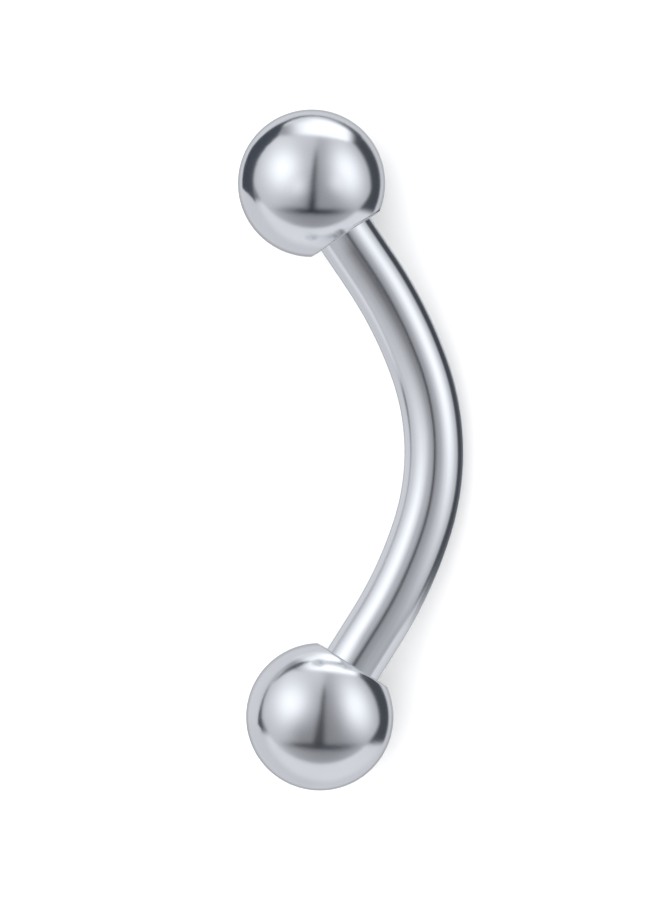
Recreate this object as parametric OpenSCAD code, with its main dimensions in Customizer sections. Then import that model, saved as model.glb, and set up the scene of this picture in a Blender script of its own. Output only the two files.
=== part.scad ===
// Curved barbell for an eyebrow piercing: a bent round bar with a screw-on ball at each end.
// It lies on a flat surface, touching it with both balls and with the crown of the bend.
// Millimetres, +Z up, +Y along the line through the two balls, +X towards the crown of the bend.
// The origin is on the surface, below the middle of the whole ring.

/* [Curved bar] */
// Diameter of the bar, 16 gauge
bar_d = 1.2; // [1.14:0.02:1.3]
// Distance between the centres of the two balls
ball_spacing = 10.86; // [10.4:0.02:12]
// Radius of the bar's centreline over the crown, where it bends tightest
crown_bend_r = 5.1; // [4.7:0.1:5.5]
// Half of the angle that the crown's bend covers
crown_half_angle = 18.5; // [16:0.5:20]
// Radius of the bar's centreline over the gentler bends on both sides of the crown
shoulder_bend_r = 8.7; // [8:0.1:9.2]
// Angle between the bar's straight ends and the line through the balls
end_angle = 33; // [30:0.5:34]

/* [Balls] */
// Diameter of each ball
ball_d = 3; // [2.8:0.1:3.4]
// Diameter of the flat on each ball, which seats on the end of the bar
flat_d = 1.69; // [1.6:0.01:1.9]

/* [Screw ends] */
// Diameter of the plain post that stands for the M1.2 thread, measured over its crests
post_d = 1.12; // [1:0.02:1.12]
// Length of the post past the end of the bar
post_length = 1.7; // [1.2:0.1:1.8]
// Chamfer round the tip of the post
post_chamfer = 0.12; // [0.06:0.02:0.2]
// Clearance all round between the post and its hole
post_clearance = 0.02; // [0.01:0.005:0.02]
// Depth of the hole past the tip of the post, before the drill point
hole_run_out = 0.2; // [0.1:0.05:0.3]
// Included angle of the drill point at the bottom of the hole
drill_point_angle = 118; // [90:1:140]
// Gap between the end of the bar and the flat of the ball, which are separate pieces
seat_gap = 0.01; // [0.005:0.005:0.02]

/* [Hidden] */
$fn = 96;

bar_r = bar_d / 2;
ball_r = ball_d / 2;
post_r = post_d / 2;
hole_r = post_r + post_clearance;
half_spacing = ball_spacing / 2;

// Distance from a ball's centre to its flat, and from there to the end of the bar
flat_offset = sqrt(pow(ball_r, 2) - pow(flat_d / 2, 2));
bar_end_offset = flat_offset + seat_gap;

// The bend lies in one plane, in which x runs from the line through the balls to the crown.
// Each straight end starts where the shoulder's bend stops, and points at its ball's centre.
bend_r_change = shoulder_bend_r - crown_bend_r;
straight_length =
    (half_spacing + bend_r_change * sin(crown_half_angle) - shoulder_bend_r * sin(end_angle))
    / cos(end_angle);
crown_x =
    crown_bend_r + bend_r_change * cos(crown_half_angle) - shoulder_bend_r * cos(end_angle)
    + straight_length * sin(end_angle);

// The plane of the bend leans down until the crown's underside is as low as the balls'
rest_tilt = asin((ball_r - bar_r) / crown_x);
// Where the line through the balls is, with the origin below the middle of the whole ring
ball_line_x = (ball_r - bar_r - crown_x * cos(rest_tilt)) / 2;

hole_depth = post_length + hole_run_out;
drill_point_depth = hole_r / tan(drill_point_angle / 2);

// Angle by which a shoulder's bend runs on inside the crown's bend, so that they are one solid
bend_overlap = 1.5;
// Length by which the post runs on inside the bar
post_root = 0.3;
// Length by which a cutting shape passes the face that it cuts
cut_margin = 0.1;

// Moves shapes from the plane of the bend to where the ring rests on the surface
module resting() {
    translate([ball_line_x, 0, ball_r])
        rotate([0, rest_tilt, 0])
            children();
}

// Moves shapes from the origin to the upper ball's centre, and turns +Y in line with its screw end
module at_upper_ball() {
    translate([0, half_spacing, 0])
        rotate([0, 0, end_angle])
            children();
}

// Turns shapes that are drawn along +Z so that they point along +Y
module along_y() {
    rotate([-90, 0, 0])
        children();
}

// A stretch of bar bent round the z axis, from the x axis to the given angle
module bent_bar(bend_r, angle) {
    rotate_extrude(angle = angle)
        translate([bend_r, 0])
            circle(r = bar_r);
}

// The bar from the crown's bend to the flat of the upper ball
module shoulder_and_straight() {
    translate([0, -straight_length, 0]) {
        translate([-shoulder_bend_r, 0, 0])
            bent_bar(shoulder_bend_r, crown_half_angle - end_angle - bend_overlap);
        along_y()
            cylinder(r = bar_r, h = straight_length - bar_end_offset);
    }
}

// The plain post past the end of the bar, with a chamfered tip
module post() {
    along_y()
        translate([0, 0, -bar_end_offset])
            rotate_extrude()
                polygon([
                    [0, -post_root],
                    [post_r, -post_root],
                    [post_r, post_length - post_chamfer],
                    [post_r - post_chamfer, post_length],
                    [0, post_length]
                ]);
}

module bar_end() {
    at_upper_ball() {
        shoulder_and_straight();
        post();
    }
}

module curved_bar() {
    color("silver")
        resting() {
            translate([crown_x - crown_bend_r, 0, 0])
                rotate([0, 0, -crown_half_angle])
                    bent_bar(crown_bend_r, 2 * crown_half_angle);
            bar_end();
            mirror([0, 1, 0])
                bar_end();
        }
}

// The blind hole in a ball, from in front of its flat to the tip of the drill point
module screw_hole() {
    translate([0, 0, -flat_offset])
        rotate_extrude()
            polygon([
                [0, -cut_margin],
                [hole_r, -cut_margin],
                [hole_r, hole_depth],
                [0, hole_depth + drill_point_depth]
            ]);
}

// A ball round the origin, with its flat and its hole facing -Y
module ball() {
    along_y()
        difference() {
            sphere(r = ball_r);
            translate([0, 0, -flat_offset - ball_r])
                cylinder(r = ball_r, h = ball_r);
            screw_hole();
        }
}

module upper_ball() {
    color("silver")
        resting()
            at_upper_ball()
                ball();
}

module lower_ball() {
    color("silver")
        resting()
            mirror([0, 1, 0])
                at_upper_ball()
                    ball();
}

curved_bar();
upper_ball();
lower_ball();
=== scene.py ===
"""Curved barbell for an eyebrow piercing, lying on a pale floor in a white light tent.

Everything is in metres, in the CAD model's frame: the floor is at z = 0, +Y runs from the lower
ball to the upper ball, and +X from the line through the balls towards the crown of the bend.
"""

import bpy
import numpy as np
from mathutils import Matrix


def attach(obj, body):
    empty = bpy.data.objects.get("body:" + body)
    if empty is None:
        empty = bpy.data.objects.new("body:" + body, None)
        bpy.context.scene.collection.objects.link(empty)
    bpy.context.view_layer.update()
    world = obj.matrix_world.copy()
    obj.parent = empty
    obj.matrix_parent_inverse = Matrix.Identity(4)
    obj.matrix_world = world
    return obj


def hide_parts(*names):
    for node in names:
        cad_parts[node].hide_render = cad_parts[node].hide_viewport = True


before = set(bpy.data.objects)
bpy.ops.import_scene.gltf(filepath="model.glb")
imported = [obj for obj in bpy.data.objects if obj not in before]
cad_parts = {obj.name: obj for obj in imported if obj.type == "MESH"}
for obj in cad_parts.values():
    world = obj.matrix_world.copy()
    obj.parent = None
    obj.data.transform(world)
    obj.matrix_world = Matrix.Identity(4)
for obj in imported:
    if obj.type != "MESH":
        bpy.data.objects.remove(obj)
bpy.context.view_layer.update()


# The curved bar is one piece of 1.2 mm surgical steel wire. A post is turned down at each end
# and gets an M1.2 thread, then the wire is bent over a former and polished along its length.
# It is tightest over the crown and straight at the ends, which point at the balls' centres.
MM = 0.001
BAR_R = 0.6 * MM
BALL_R = 1.5 * MM
HALF_SPACING = 5.43 * MM  # from the middle of the ring to each ball's centre
FLAT_R = 0.845 * MM  # of the flat with which a ball seats on the bar
SEAT_GAP = 0.002 * MM
CROWN_BEND_R = 5.1 * MM
SHOULDER_BEND_R = 8.7 * MM
CROWN_ANGLE = np.radians(18.5)  # how far the wire has turned where the crown's bend ends
END_ANGLE = np.radians(33)

# Where the bend's three stretches meet, in its own plane, whose x starts at the line of the balls
bend_change = SHOULDER_BEND_R - CROWN_BEND_R
straight = (
    HALF_SPACING + bend_change * np.sin(CROWN_ANGLE) - SHOULDER_BEND_R * np.sin(END_ANGLE)
) / np.cos(END_ANGLE)
crown_x = (
    CROWN_BEND_R + bend_change * np.cos(CROWN_ANGLE)
    - SHOULDER_BEND_R * np.cos(END_ANGLE) + straight * np.sin(END_ANGLE)
)
crown_length = CROWN_BEND_R * CROWN_ANGLE
bent_length = crown_length + SHOULDER_BEND_R * (END_ANGLE - CROWN_ANGLE)
flat_offset = np.sqrt(BALL_R**2 - FLAT_R**2)
half_length = bent_length + straight - flat_offset - SEAT_GAP
lean = np.arcsin((BALL_R - BAR_R) / crown_x)
ball_line_x = (BALL_R - BAR_R - crown_x * np.cos(lean)) / 2


def resting(points):
    """Moves points from the plane of the bend to where the ring lies.

    The line of the balls is as high as a ball's radius, and about it the plane turns by the lean,
    until the crown touches the floor as well.
    """
    x, y, z = np.moveaxis(points, -1, 0)
    return np.stack([
        ball_line_x + x * np.cos(lean) + z * np.sin(lean),
        y,
        BALL_R - x * np.sin(lean) + z * np.cos(lean),
    ], -1)


def bent(points):
    """Carries points of the straight wire, which lies along z, round the bend.

    Up to the crown's end a point has turned by its distance over the crown's radius, after that by
    its distance over the shoulder's radius, and then it goes straight on. Each of the two radii
    adds its own arc, and x sticks out along the outward direction at that turn.
    """
    out, up, along = np.moveaxis(points, -1, 0)
    far = np.abs(along)
    crown_turn = np.minimum(far / CROWN_BEND_R, CROWN_ANGLE)
    turn = CROWN_ANGLE + (far - crown_length) / SHOULDER_BEND_R
    turn = np.clip(turn, CROWN_ANGLE, END_ANGLE)
    past = np.maximum(far - bent_length, 0)
    x = (
        crown_x - CROWN_BEND_R + CROWN_BEND_R * np.cos(crown_turn)
        + SHOULDER_BEND_R * (np.cos(turn) - np.cos(CROWN_ANGLE)) - past * np.sin(END_ANGLE)
    )
    y = (
        CROWN_BEND_R * np.sin(crown_turn)
        + SHOULDER_BEND_R * (np.sin(turn) - np.sin(CROWN_ANGLE)) + past * np.cos(END_ANGLE)
    )
    angle = crown_turn + turn - CROWN_ANGLE
    x, y = x + out * np.cos(angle), y + out * np.sin(angle)
    return resting(np.stack([x, np.where(along < 0, -y, y), up], -1))


AROUND = 128  # points in each row round a piece
around = np.linspace(0, 2 * np.pi, AROUND, endpoint=False)
PITCH = 0.25 * MM
SHARP_DEPTH = 0.866 * PITCH  # height of the thread's triangle if it came to a point
THREAD_DEPTH = 0.6134 * PITCH


def threaded(radius, along, depth):
    """Radius of a 60 degree thread under the given crest, one value for each row and angle.

    The distance along the screw, less a pitch for each turn, makes a wave of straight flanks as
    high as the sharp thread. The crest takes an eighth off it, and the depth of the cut clips it.
    """
    phase = (along[:, None] / PITCH - around / (2 * np.pi)) % 1
    flank = radius[:, None] + SHARP_DEPTH / 8 - SHARP_DEPTH * (1 - np.abs(2 * phase - 1))
    return np.clip(flank, radius[:, None] - depth[:, None], radius[:, None])


def round_rows(radius):
    """Gives each row the same radius at every angle."""
    return np.repeat(radius[:, None], AROUND, 1)


def turned(radius, along):
    """Points of a piece on the lathe: the radius of each row and angle, round a place along z."""
    along = np.broadcast_to(along[:, None], radius.shape)
    return np.stack([radius * np.cos(around), radius * np.sin(around), along], -1)


def placed(name, data):
    """A new object at the origin, unturned, with all its shape in the data."""
    thing = bpy.data.objects.new(name, data)
    bpy.context.scene.collection.objects.link(thing)
    return thing


SHARP_TURN = np.radians(25)  # between two faces, past which their edge shows as sharp


def skinned(name, rows, place):
    """Closes rows of points into a mesh: four-sided faces between rows, and a fan at each end.

    The rows go up along z on the lathe, and each end's pole is the middle of its last row. Every
    point keeps its place on the lathe as the attribute made_at, and place moves it to the ring.
    """
    count = len(rows)
    poles = np.stack([rows[0].mean(0), rows[-1].mean(0)])
    made_at = np.concatenate([rows.reshape(-1, 3), poles])
    ring = np.arange(AROUND)
    after = (ring + 1) % AROUND
    first = np.arange(count - 1)[:, None] * AROUND
    sides = np.stack([
        first + ring, first + after, first + AROUND + after, first + AROUND + ring,
    ], -1).reshape(-1, 4)
    last = (count - 1) * AROUND
    low = np.stack([after, ring, np.full(AROUND, count * AROUND)], -1)
    high = np.stack([last + ring, last + after, np.full(AROUND, count * AROUND + 1)], -1)
    mesh = bpy.data.meshes.new(name)
    mesh.from_pydata(place(made_at).tolist(), [], sides.tolist() + low.tolist() + high.tolist())
    mesh.shade_smooth()
    mesh.set_sharp_from_angle(angle=SHARP_TURN)
    mesh.attributes.new("made_at", "FLOAT_VECTOR", "POINT").data.foreach_set(
        "vector", made_at.ravel().astype(np.float32)
    )
    return placed(name, mesh)


POST_R = 0.56 * MM
POST_LENGTH = 1.7 * MM
POST_ROWS = 103
TIP_CHAMFER = 0.12 * MM
SHOULDER_CUT = 0.15  # share of the thread's depth that is cut at the shoulder
EDGE = 0.006 * MM  # how far a sharp edge is broken by polishing
MIDDLE_ROWS = 241


def screw_end():
    """Rows of one end, from the bar's last full row out: broken edge, shoulder, thread, tip.

    The thread's cut is shallow at the shoulder and full after one pitch, and a 45 degree chamfer
    bounds it at the tip, whose flat face two more rows carry in to its middle.
    """
    out = np.linspace(0, POST_LENGTH, POST_ROWS)
    depth = THREAD_DEPTH * np.clip(out / PITCH, SHOULDER_CUT, 1)
    screw = threaded(np.full(POST_ROWS, POST_R), out, depth)
    screw = np.minimum(screw, (POST_R + POST_LENGTH - TIP_CHAMFER - out)[:, None])
    lip = BAR_R - np.array([0, 0.3, 1, 1.3]) * EDGE
    face = np.array([-1, -0.3, 0, 0]) * EDGE
    tip = np.array([0.5, 0.02]) * POST_R
    radius = np.concatenate([round_rows(lip), screw, round_rows(tip)])
    return radius, half_length + np.concatenate([face, out, np.full(len(tip), POST_LENGTH)])


end_radius, end_along = screw_end()
middle = np.linspace(-half_length + 2 * EDGE, half_length - 2 * EDGE, MIDDLE_ROWS)
bar_rows = turned(
    np.concatenate([end_radius[::-1], round_rows(np.full(MIDDLE_ROWS, BAR_R)), end_radius]),
    np.concatenate([-end_along[::-1], middle, end_along]),
)
curved_bar = skinned("polished_bar", bar_rows, bent)
curved_bar.data.flip_normals()  # outwards again, because bent mirrors what is on the lathe


class Wire:
    """A socket in a node tree. Plain maths on it adds the nodes that work the result out."""

    def __init__(self, tree, socket=None):
        self.tree = tree
        self.socket = socket

    def feed(self, node, inputs):
        """Links a node's inputs to wires, and sets those that are plain values."""
        for place, value in inputs.items():
            if isinstance(value, Wire):
                self.tree.links.new(value.socket, node.inputs[place])
            else:
                node.inputs[place].default_value = value

    def node(self, kind, settings, inputs, output=0):
        """Adds a node, with its settings made before its inputs, and gives one of its outputs."""
        made = self.tree.nodes.new("ShaderNode" + kind)
        for name, value in settings.items():
            setattr(made, name, value)
        self.feed(made, inputs)
        return Wire(self.tree, made.outputs[output])

    def maths(self, operation, *values):
        """The result of one Math node."""
        return self.node("Math", {"operation": operation}, dict(enumerate(values)))

    def __add__(self, other):
        return self.maths("ADD", self, other)

    def __sub__(self, other):
        return self.maths("SUBTRACT", self, other)

    def __rsub__(self, other):
        return self.maths("SUBTRACT", other, self)

    def __mul__(self, other):
        return self.maths("MULTIPLY", self, other)

    def __truediv__(self, other):
        return self.maths("DIVIDE", self, other)

    __radd__ = __add__
    __rmul__ = __mul__


def rise(value, low, high):
    """A smooth step: 0 up to low, 1 from high on."""
    inputs = {"Value": value, "From Min": low, "From Max": high}
    return value.node("MapRange", {"interpolation_type": "SMOOTHSTEP"}, inputs)


def fall(value, low, high):
    """The same step down: 1 up to low, 0 from high on."""
    return 1 - rise(value, low, high)


def noise(place, stretch, detail):
    """Cloudy noise with a mean near a half, whose grains are one over the stretch in size."""
    mapped = place.node("Mapping", {}, {"Vector": place, "Scale": stretch})
    return place.node("TexNoise", {}, {"Vector": mapped, "Scale": 1.0, "Detail": detail})


POLISHED = (0.78, 0.79, 0.81, 1)
MACHINED = (0.62, 0.63, 0.65, 1)
MACHINED_TONE = 0.7  # how far cut faces and smears go from the one colour to the other
SMEAR_TONE = 0.2
POLISHED_ROUGHNESS = 0.135  # to which the next three add
HAIRLINE_ROUGHNESS = 0.03
SMEAR_ROUGHNESS = 0.035
MACHINED_ROUGHNESS = 0.2
SMEAR_EDGE = (0.4, 0.7)  # where a smear starts and is full, in the noise that makes it
SWELLS = (500, 500, 420)


def polished_steel(name, hairs, smears, heights, cut):
    """Mirror-polished steel: metal whose shine is broken by hairlines, smears and cut faces.

    hairs and smears give the stretch of the polishing marks, and heights how far the hairlines, and
    the slow swells that the buff leaves, stand out in metres. cut says how far a point is machined
    and not polished, from 0 to 1.
    """
    material = bpy.data.materials.new(name)
    material.use_nodes = True
    wire = Wire(material.node_tree)
    place = wire.node("Attribute", {"attribute_name": "made_at"}, {}, "Vector")
    hairline = noise(place, hairs, 3.0)
    smeared = rise(noise(place, smears, 2.0), *SMEAR_EDGE)
    swell = noise(place, SWELLS, 0.0)
    machined = cut(place)
    tone = wire.node("Mix", {"data_type": "RGBA"}, {
        0: machined * MACHINED_TONE + smeared * SMEAR_TONE, 6: POLISHED, 7: MACHINED,
    }, 2)  # sockets 6 and 7 are the node's two colours, and 2 is their mix
    roughness = (
        POLISHED_ROUGHNESS + hairline * HAIRLINE_ROUGHNESS + smeared * SMEAR_ROUGHNESS
        + machined * MACHINED_ROUGHNESS
    )
    relief = wire.node("Bump", {}, {
        "Strength": 1.0, "Distance": 1.0,
        "Height": hairline * heights[0] + swell * heights[1],
    })
    wire.feed(material.node_tree.nodes["Principled BSDF"], {
        "Base Color": tone, "Metallic": 1.0, "Roughness": roughness, "Normal": relief,
    })
    return material


BAR_HAIRS = (40000, 40000, 900)  # fine across the bar, and long along it
BAR_SMEARS = (7000, 7000, 150)
BAR_HEIGHTS = (-6e-7, -9e-6)  # below 0, because they are cut into the steel


def cut_thread(place):
    """Past the shoulders the steel is as the die left it."""
    split = place.node("SeparateXYZ", {}, {"Vector": place}, "Z")
    return rise(split.maths("ABSOLUTE", split), half_length - EDGE, half_length + EDGE)


curved_bar.data.materials.append(
    polished_steel("bar_steel", BAR_HAIRS, BAR_SMEARS, BAR_HEIGHTS, cut_thread)
)
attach(curved_bar, "bar")
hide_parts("curved_bar")


# Each ball is turned from the same steel and polished. A flat is faced on it where it seats on
# the bar's shoulder, and a blind hole is drilled and tapped through the flat to take the post.
HOLE_R = 0.58 * MM
HOLE_DEPTH = 1.9 * MM
DRILL_DEPTH = 0.3485 * MM  # of the point that a 118 degree drill leaves
TAP_DEPTH = 0.04 * MM
LEAD_IN = 0.02 * MM
HOLE_ROWS = 110
SPHERE_ROWS = 96
FLAT_EDGE_ANGLE = np.radians(0.25)  # what the broken edge takes off the sphere
BALL_HAIRS = (2500, 2500, 30000)
BALL_SMEARS = (900, 900, 500)
BALL_HEIGHTS = (6e-7, 1e-6)


def ball_rows():
    """Rows of a ball whose screw hole opens downwards, from the drill point out and up.

    The hole's wall is a thread from just inside the mouth to near the bottom, and its first row is
    the rim of the drill point. The sphere's rows are even in angle, from the edge of the flat,
    which is broken by a small arc, to the top.
    """
    bottom = -flat_offset
    drill = np.linspace(0.02, 1, 10)[:-1]
    wall = np.linspace(HOLE_DEPTH, LEAD_IN, HOLE_ROWS)
    cut = TAP_DEPTH * np.clip(np.minimum(wall - LEAD_IN, HOLE_DEPTH - wall) / PITCH, 0, 1)
    faced = np.linspace(HOLE_R + 2 * LEAD_IN, FLAT_R - EDGE, 9)
    flat = np.concatenate([[HOLE_R + LEAD_IN], faced])
    edge = np.array([0.35, 0.7]) * EDGE
    angle = np.linspace(np.arcsin(FLAT_R / BALL_R), np.pi, SPHERE_ROWS + 1)[:-1]
    angle = angle + FLAT_EDGE_ANGLE
    radius = [
        round_rows(HOLE_R * drill), threaded(HOLE_R + cut, wall, cut), round_rows(flat),
        round_rows(FLAT_R - EDGE + edge), round_rows(BALL_R * np.sin(angle)),
    ]
    height = [
        bottom + HOLE_DEPTH + DRILL_DEPTH * (1 - drill), bottom + wall, np.full(len(flat), bottom),
        bottom + 0.15 * edge, -BALL_R * np.cos(angle),
    ]
    return turned(np.concatenate(radius), np.concatenate(height))


def on_post(points, end):
    """Turns a ball's axis from z to a screw end's direction, and moves it to its own centre.

    The upper end is 1. The lower, -1, is the same turned half round about the ring's own x axis.
    """
    x, y, z = np.moveaxis(points, -1, 0)
    c, s = np.cos(END_ANGLE), np.sin(END_ANGLE)
    return resting(np.stack([x * c - z * s, end * (HALF_SPACING + x * s + z * c), -end * y], -1))


def faced_or_tapped(place):
    """The flat and the hole are as the tool left them; only the round outside is polished."""
    squared = place.node("VectorMath", {"operation": "DOT_PRODUCT"}, {0: place, 1: place}, "Value")
    out = squared.maths("SQRT", squared)
    return fall(out, BALL_R - 6 * EDGE, BALL_R - EDGE)


ball_steel = polished_steel("ball_steel", BALL_HAIRS, BALL_SMEARS, BALL_HEIGHTS, faced_or_tapped)
for node, end in (("upper_ball", 1), ("lower_ball", -1)):
    ball = skinned("polished_" + node, ball_rows(), lambda made_at: on_post(made_at, end))
    ball.data.materials.append(ball_steel)
    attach(ball, node)
    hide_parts(node)


# The floor is a wide sheet of matt white board, which takes the ring's soft shadow. The steel
# doesn't mirror it, and shows the tent's own white base in its place.
FLOOR_HALF = 0.6
BOARD_WHITE = (0.88, 0.88, 0.88, 1)
corners = np.array([[-1, -1, 0], [1, -1, 0], [1, 1, 0], [-1, 1, 0]]) * FLOOR_HALF
floor_mesh = bpy.data.meshes.new("floor")
floor_mesh.from_pydata(corners.tolist(), [], [[0, 1, 2, 3]])
floor = placed("floor", floor_mesh)
board = bpy.data.materials.new("matt_board")
board.use_nodes = True
Wire(board.node_tree).feed(board.node_tree.nodes["Principled BSDF"], {
    "Base Color": BOARD_WHITE, "Roughness": 0.9, "Specular IOR Level": 0.0,
})
floor_mesh.materials.append(board)
floor.visible_glossy = False


# The camera looks straight down on the plane of the bend, which leans with the ring. It is turned
# a little about its own axis, and a long lens keeps the balls the same size.
CAMERA_ROLL = 0.0154
VIEW_HEIGHT = 18.319 * MM
VIEW_OFFSET = 0.293 * MM  # from the middle of the line through the balls to the picture's middle
LENS = 300.0
SENSOR = 36.0

camera_data = bpy.data.cameras.new("camera")
camera_data.lens = LENS
camera_data.sensor_width = SENSOR
camera = placed("camera", camera_data)
bpy.context.scene.camera = camera
to_lens = np.array([np.sin(lean), 0, np.cos(lean)])
bend_out = np.array([np.cos(lean), 0, -np.sin(lean)])
ball_line = np.array([0, 1, 0])
right = bend_out * np.cos(CAMERA_ROLL) - ball_line * np.sin(CAMERA_ROLL)
upwards = bend_out * np.sin(CAMERA_ROLL) + ball_line * np.cos(CAMERA_ROLL)
lens_axes = np.stack([right, upwards, to_lens])
distance = VIEW_HEIGHT * LENS / SENSOR
eye = np.array([ball_line_x, 0, BALL_R]) + right * VIEW_OFFSET + to_lens * distance
camera.matrix_world = Matrix(np.vstack([np.column_stack([*lens_axes, eye]), [0, 0, 0, 1]]).tolist())
camera_data.clip_start = 0.1 * distance
camera_data.clip_end = 10.0
bpy.context.scene.view_settings.view_transform = "Standard"


# The light tent is a white tent lit from outside, so the light on the floor is soft and even.
# Only polished steel shows its inside: a lamp's glow on each side of the slit for the lens, the
# dark seam and grey sill below them, a bright lamp on top, and a dark gap before the white base.
PLAIN_LIGHT = 1.75
TENT_TINT = (0.985, 1.0, 1.035)
DARK_TINT = (-0.006, 0.0, 0.012)
tent = bpy.data.worlds.new("light_tent")
bpy.context.scene.world = tent
tent.use_nodes = True
wire = Wire(tent.node_tree)
direction = wire.node("TexCoord", {}, {}, "Generated")
towards = wire.node("VectorMath", {"operation": "ADD"}, {0: direction, 1: to_lens.tolist()})
halfway = wire.node("VectorMath", {"operation": "NORMALIZE"}, {0: towards})


def part_along(axis):
    """How far the steel faces along an axis where the lens sees that place of the tent in it."""
    return wire.node(
        "VectorMath", {"operation": "DOT_PRODUCT"}, {0: halfway, 1: axis.tolist()}, "Value"
    )


# A place in the tent is where a ball shows it to the lens: x to the right and y up from the ball's
# middle, in shares of its radius. Light is in shares of full white.
x, y = part_along(right), part_along(upwards)


def radius_about(x, y):
    """How far a place is from the one where both values are 0."""
    return wire.maths("SQRT", x * x + y * y)


def bell(away, width=1):
    """1 in the middle and soft on both sides: e to the minus square of the distance over width."""
    share = away * (1 / width)
    return wire.maths("EXPONENT", 0 - share * share)


def glow(place, size, lean=0):
    """A soft spot, which is a bell both ways, and whose upper part leans to the left."""
    sideways = x + y * lean if lean else x
    return bell(sideways - place[0], size[0]) * bell(y - place[1], size[1])


def fade(start, end, share):
    """From start to end by a share of 0 to 1."""
    return start + (end - start) * share


def seen_twice(wire):
    """1 for what steel shows inside the reflection of other steel, and 0 for a first reflection."""
    return rise(wire.node("LightPath", {}, {}, "Glossy Depth"), 1.0, 2.0)


from_lens = radius_about(x, y)

# The cover has a lamp behind each half, and the left half is darker low down, beside the slit
LEFT_CLOTH = 0.62
RIGHT_CLOTH = 0.335
left_lamp = glow(place=(-0.37, 0.17), size=(0.24, 0.31)) * 0.8
left_shade = glow(place=(0.1, -0.28), size=(0.43, 0.45)) * 0.6
right_lamp = glow(place=(0.52, 0.16), size=(0.23, 0.4), lean=0.25) * 0.95
left_half = (LEFT_CLOTH + left_lamp) * (1 - left_shade)
right_half = RIGHT_CLOTH + right_lamp

# The slit leans, and it is deep and wide towards the sill and fades out on top
SLIT_X = 0.028
SLIT_LEAN = 0.09
slit = x - y * SLIT_LEAN - SLIT_X
cover = fade(left_half, right_half, rise(slit, -0.08, 0.08))
cover = cover + rise(y, 0.4, 0.62) * 0.08
slit_depth = rise(0.53 - y, 0, 0.22) * (0.85 - y * 0.3)
slit_width = 0.044 - y * 0.055
slit_middle = slit - fall(y, -0.25, 0) * 0.009
cover = cover * (1 - slit_depth * bell(slit_middle / slit_width))

# Below it a seam, and then the grey sill, which is lighter at its ends
SEAM_Y = -0.397
SEAM_WIDTH = 0.041
SEAM_DEPTH = 0.97
SILL_LIGHT = 0.26
seam = y - SEAM_Y + x * 0.04 - x * x * 0.12
aside = wire.maths("ABSOLUTE", x - 0.03)
sill = SILL_LIGHT - seam * 0.5 + aside * aside * 0.9
cover = fade(sill, cover, rise(seam, -0.02, 0.02))
cover = cover * (1 - bell(seam, SEAM_WIDTH) * fall(aside, 0.12, 0.62) * SEAM_DEPTH)

# The tent's base is white, brightest round the cover, and comes forward below
BASE_LIGHT = 0.7
BASE_TOP = -0.3
base = BASE_LIGHT + rise(y, -0.3, 0.1) * 0.06
base = base + fall(radius_about(x - 0.07, y + 0.04), 0.77, 0.87) * 0.15
base = base - rise(from_lens, 0.955, 0.985) * 0.25
below = fall(y - BASE_TOP + x * 0.1, -0.05, 0.05)

# Between the cover and the base is a dark gap, which gets some light on top and on the left
GAP_LIGHT = 0.075
gap = GAP_LIGHT + rise(y, 0.7, 0.88) * 0.3 + fall(x, -0.7, -0.3) * 0.2
gap = gap + glow(place=(-0.47, 0.67), size=(0.12, 0.12)) * 0.3
gap = gap * (1 - glow(place=(-0.77, -0.17), size=(0.06, 0.06)) * 0.25)
surround = fade(gap, base, below)
surround = fade(surround, base, rise(radius_about(x - 0.0625, y), 0.86, 0.885))

# The cover ends where two wide circles cross, and above it at the lamp's lower edge
LAMP_Y = 0.63
in_cover = fall(radius_about(x - 0.012, y + x * 0.06), 0.77, 0.815)
in_cover = in_cover * fall(radius_about(x * 0.985 - 0.03, y - 0.205), 0.808, 0.842)
above = rise(y - LAMP_Y + x * 0.08 + x * x * 0.15, -0.03, 0.03)
inside = fade(surround, cover, in_cover * (1 - above))

# The lamp on top lights a patch that ends sharply on one side and fades out on the other
LAMP_LIGHT = 1.4
patch = above * rise(x, -0.46, -0.03) * fall(x, 0.45, 0.6) * fall(from_lens, 0.85, 0.895)
patch = patch * (1 - glow(place=(-0.17, 0.86), size=(0.17, 0.045)) * 0.55)
inside = fade(inside, LAMP_LIGHT, patch)

# The ring's small image in its own balls is soft, because there it shows a plain pale tent
PALE_LIGHT = 0.9
inside = fade(inside, PALE_LIGHT, seen_twice(wire))

tinted = wire.node(
    "VectorMath", {"operation": "MULTIPLY_ADD"}, {0: inside, 1: TENT_TINT, 2: DARK_TINT}
)
seen = wire.node("Background", {}, {"Color": tinted})
plain = wire.node("Background", {}, {"Color": (1, 1, 1, 1), "Strength": PLAIN_LIGHT})
mirrored = wire.node("LightPath", {}, {}, "Is Glossy Ray")
shown = wire.node("MixShader", {}, {0: mirrored, 1: plain, 2: seen})
wire.feed(tent.node_tree.nodes["World Output"], {"Surface": shown})


# The cards are thin sheets close to the ring that send their own fixed light, and so paint dark and
# light reflections into its steel. They are in no other light path. The first two are black, and
# curve round a ball.
upper_centre = np.array([ball_line_x, HALF_SPACING, BALL_R])
lower_centre = np.array([ball_line_x, -HALF_SPACING, BALL_R])
# the dark tone that the black cards send, which paints dark reflections into the balls
PAINTED_SHADE_CARD = (0.055, 0.065, 0.085, 1)
across, along = np.meshgrid(np.linspace(0, 1, 13), np.linspace(0, 1, 97), indexing="ij")


def reach(shown, drop, climb):
    """How far out from a ball's centre the lens sees a card in the ball, at a share of its radius.

    The ray leaves the ball there, at twice the slope, and goes down to the card, which is at the
    drop below the ball's centre and climbs by a share of the distance out.
    """
    slope = np.sqrt(1 - shown**2)
    depth = drop + BALL_R * (slope - climb * shown)
    return BALL_R * shown + 2 * shown * slope * depth / (
        2 * shown**2 - 1 + 2 * climb * shown * slope
    )


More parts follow.
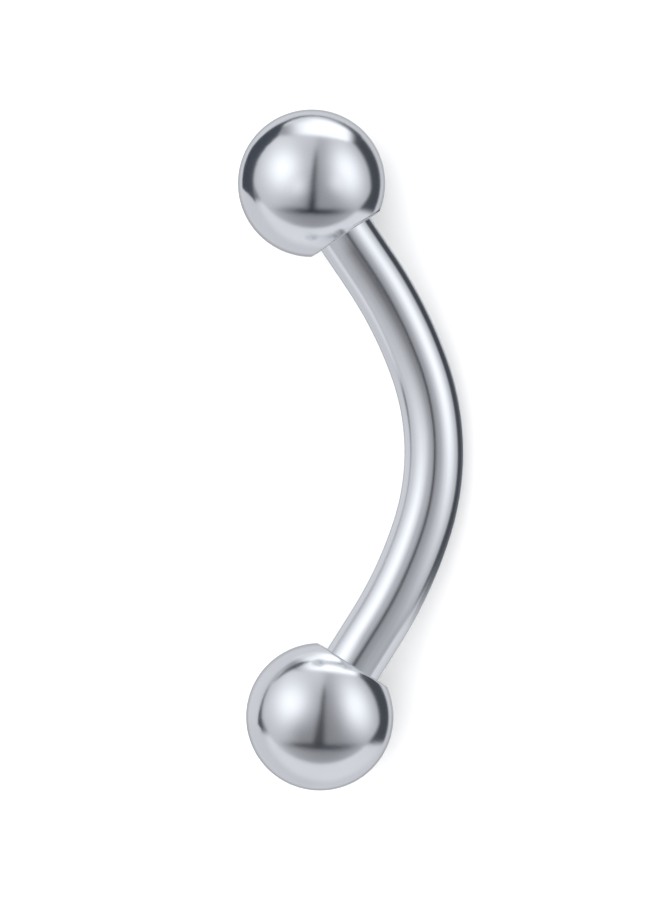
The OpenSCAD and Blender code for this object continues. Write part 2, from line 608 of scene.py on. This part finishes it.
def mirrored_card(name, points, light, shade):
    """A thin card on a grid of points, which only the steel's first reflections show.

    The shade says how much of the tent behind it each of its points hides, from 0 to 1, and light
    is what the card sends to the steel in its place.
    """
    rows, columns = points.shape[:2]
    corner = (np.arange(rows - 1)[:, None] * columns + np.arange(columns - 1)).reshape(-1, 1)
    mesh = bpy.data.meshes.new(name)
    faces = corner + np.array([0, 1, columns + 1, columns])
    mesh.from_pydata(points.reshape(-1, 3).tolist(), [], faces.tolist())
    card = placed(name, mesh)
    card.visible_camera = card.visible_diffuse = card.visible_shadow = False
    mesh.attributes.new("shade", "FLOAT", "POINT").data.foreach_set(
        "value", np.broadcast_to(shade, (rows, columns)).ravel().astype(np.float32)
    )
    sheet = bpy.data.materials.new(name)
    sheet.use_nodes = True
    wire = Wire(sheet.node_tree)
    hidden = wire.node("Attribute", {"attribute_name": "shade"}, {}, "Fac")
    clear = wire.node("BsdfTransparent", {}, {})
    own = wire.node("Emission", {}, {"Color": light, "Strength": 1.0})
    mixed = wire.node("MixShader", {}, {0: hidden * (1 - seen_twice(wire)), 1: clear, 2: own})
    wire.feed(sheet.node_tree.nodes["Material Output"], {"Surface": mixed})
    mesh.materials.append(sheet)


def crescent(middle, drop, tilt, start, turns, inner, outer):
    """Points of a card round a ball, from its outer to its inner edge and from start to the end.

    Its edges are the shares of the ball's radius at which the lens sees them, for turns in degrees
    from the left. It lies at the drop below the middle, and climbs by the tilt on the way up.
    """
    turn = start + (turns[-1] - start) * along
    shares = np.interp(turn, turns, outer), np.interp(turn, turns, inner)
    turn = np.radians(turn)
    near, far = (reach(share, drop, tilt * np.sin(turn)) for share in shares)
    out = near + (far - near) * across
    aside, up = -out * np.cos(turn), out * np.sin(turn)
    return middle + np.stack([aside, up, tilt * up - drop], -1) @ lens_axes


# The upper ball's card paints a dark crescent into its reflection, low on its left, which thins out
# to a line over the top
CRESCENT_DROP = 1.75 * MM  # below the ball's centre, away from the lens
CRESCENT_TURN = (-19, 30, 45, 54, 60, 66, 80, 95, 112, 136)
CRESCENT_INNER = (0.797, 0.777, 0.766, 0.768, 0.815, 0.868, 0.886, 0.896, 0.897, 0.87)
CRESCENT_OUTER = (0.938, 0.938, 0.918, 0.91, 0.908, 0.905, 0.916, 0.914, 0.914, 0.93)
crescent_start = -3 - 17 * across**0.8  # its lower end is rounded
mirrored_card(
    "upper_painted_shade_crescent",
    crescent(
        upper_centre, CRESCENT_DROP, 0, crescent_start, CRESCENT_TURN, CRESCENT_INNER,
        CRESCENT_OUTER,
    ),
    PAINTED_SHADE_CARD,
    np.interp(along, (0.5, 0.6), (1, 0.75)),
)

# The lower ball's card paints a thin dark line into its reflection on its left, which hooks inwards
# at its lower end. It is tilted until the upper ball mirrors it edge on.
LINE_DROP = 0.1 * MM
LINE_TILT = 0.112
LINE_TURN = (-15, -11, -7, 0, 10, 20, 34)
LINE_INNER = (0.77, 0.775, 0.781, 0.79, 0.79, 0.79, 0.795)
LINE_OUTER = (0.779, 0.812, 0.84, 0.832, 0.818, 0.812, 0.797)
mirrored_card(
    "lower_painted_shade_line",
    crescent(
        lower_centre, LINE_DROP, LINE_TILT, LINE_TURN[0], LINE_TURN, LINE_INNER, LINE_OUTER,
    ),
    PAINTED_SHADE_CARD,
    1,
)

# A round film just over each ball paints its reflection: painted light on both sides of the slit in
# the upper one, and painted shade there in the lower one. Its shade is set by the place at which
# the lens sees it.
FILM_RISE = 1.9 * MM
FILM_EDGE = 0.62  # share of the ball's radius at which the lens sees it end
# the films' own fixed tones: painted light for the upper ball, painted shade for the lower ball and
# the ribbon
PAINTED_LIGHT_FILM = (1.08, 1.1, 1.14, 1)
PAINTED_SHADE_FILM = (0.02, 0.02, 0.03, 1)
share, turn = np.meshgrid(
    np.linspace(0, FILM_EDGE, 63), np.linspace(0, 2 * np.pi, 97), indexing="ij"
)
seen_x, seen_y = share * np.cos(turn), share * np.sin(turn)
film_out = reach(share, -FILM_RISE, 0)
film = np.stack([
    film_out * np.cos(turn), film_out * np.sin(turn), np.full(share.shape, FILM_RISE),
], -1) @ lens_axes


def spot(place, size):
    """A soft spot of shade on the film: e to the minus square of the distance over the size."""
    return np.exp(-((seen_x - place[0]) / size[0]) ** 2 - ((seen_y - place[1]) / size[1]) ** 2)


left_light = 0.6 * spot(place=(-0.19, -0.06), size=(0.13, 0.15))
right_light = 0.5 * spot(place=(0.37, -0.01), size=(0.13, 0.13))
mirrored_card("upper_painted_light_film", film + upper_centre, PAINTED_LIGHT_FILM, left_light + right_light)

slit_line = np.exp(-((seen_x - 0.012 - 0.173 * seen_y) / 0.051) ** 2)
left_clear = 1 - 0.37 * spot(place=(-0.255, -0.31), size=(0.17, 0.32))
right_clear = 1 - 0.23 * spot(place=(0.134, -0.2), size=(0.25, 1))
slit_clear = 1 - 0.74 * slit_line * np.interp(seen_y, (-0.3, 0.1), (1, 0))
seam_clear = 1 - 0.5 * spot(place=(-0.2, -0.355), size=(0.2, 0.03))
lower_shade = 1 - left_clear * right_clear * slit_clear * seam_clear
mirrored_card(
    "lower_painted_shade_film", film + lower_centre, PAINTED_SHADE_FILM,
    lower_shade * np.interp(seen_y, (-0.4, -0.36, 0.3, 0.5), (0, 1, 1, 0)),
)

# The bar's card is a grey strip that follows the outside of the bend, paints a dark reflection
# along the bar's outer side, and fades out below
STRIP_DROP = 0.1 * MM
STRIP_BOTTOM = -3.6 * MM
PAINTED_SHADE_GREY = (0.13, 0.14, 0.165, 1)
down_bar = half_length + (STRIP_BOTTOM - half_length) * along
near_edge = np.interp(down_bar / MM, (0, 2), (0.69, 0.77)) * MM
far_edge = np.interp(down_bar / MM, (-2.9, -1.8), (1.3, 0.92)) * MM
strip = np.stack([
    near_edge + (far_edge - near_edge) * across, np.full(along.shape, -STRIP_DROP), down_bar,
], -1)
strip_shade = np.interp(down_bar / MM, (-3.6, -3, -2.3), (0, 0.5, 1))
mirrored_card("painted_shade_strip", bent(strip), PAINTED_SHADE_GREY, strip_shade)

# A ribbon just over the bar paints shade into its reflection along the line in its middle, more in
# the upper half than in the lower. Its shade is given across and along the bar, in millimetres.
RIBBON_RISE = 0.72 * MM
RIBBON_OUT = (-1.0, -0.65, -0.42, -0.28, -0.18, -0.1, -0.06, 0, 0.05)
RIBBON_UPPER = (0, 0.12, 0.25, 0.42, 0.5, 0.68, 0.66, 0.48, 0)
RIBBON_LOWER = (0, 0, 0, 0.14, 0.27, 0.14, 0.1, 0.12, 0)
ribbon_out = RIBBON_OUT[0] + (RIBBON_OUT[-1] - RIBBON_OUT[0]) * np.sqrt(across)
ribbon_down = half_length / MM * (1 - 2 * along)
ribbon = np.stack([
    ribbon_out * MM, np.full(along.shape, RIBBON_RISE), ribbon_down * MM,
], -1)
upper_share = np.interp(
    ribbon_down, (-1.2, 0.3, 1.2, 3.4, 4.4, 4.79), (0, 0.22, 0.5, 1, 0.95, 0.3)
)
lower_share = np.interp(ribbon_down, (-4.7, -4.2, -1.4, 0.2), (0, 1, 1, 0))
ribbon_shade = (
    np.interp(ribbon_out, RIBBON_OUT, RIBBON_UPPER) * upper_share
    + np.interp(ribbon_out, RIBBON_OUT, RIBBON_LOWER) * lower_share
)
mirrored_card("middle_painted_shade_ribbon", bent(ribbon), PAINTED_SHADE_FILM, ribbon_shade)
